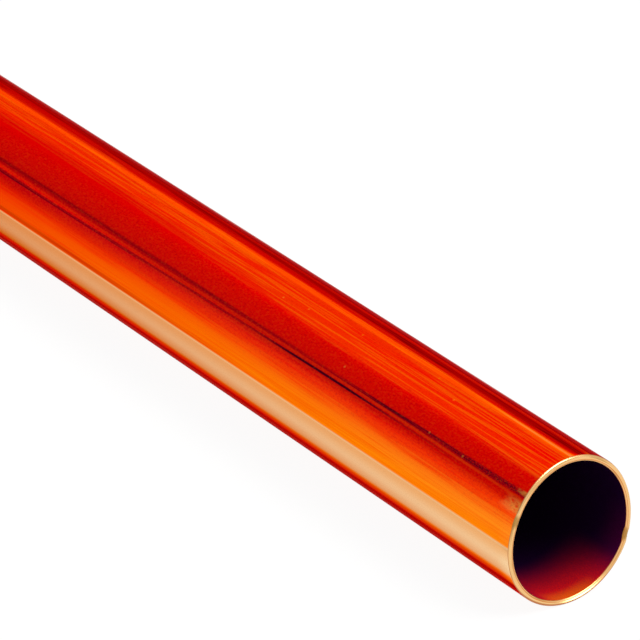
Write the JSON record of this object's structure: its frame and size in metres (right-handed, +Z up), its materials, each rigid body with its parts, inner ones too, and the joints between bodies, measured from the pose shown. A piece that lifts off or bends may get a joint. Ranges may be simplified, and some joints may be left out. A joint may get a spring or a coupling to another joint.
{
  "type": "copper tube",
  "caption": "Straight length of drawn copper water tube, open right through, one end sawn slightly out of square, with deburred edges at both ends.",
  "frame": {"origin": "on the floor under the middle of the tube", "axes": "+X along the tube towards its sawn end, +Z up"},
  "size_m": [1, 0.022, 0.022],
  "materials": {
    "copper": "bright drawn copper with fine lengthwise die lines, red to orange, pale gold on the cut ends"
  },
  "bodies": {
    "root": {"copper_tube": "copper"}
  },
  "joints": []
}
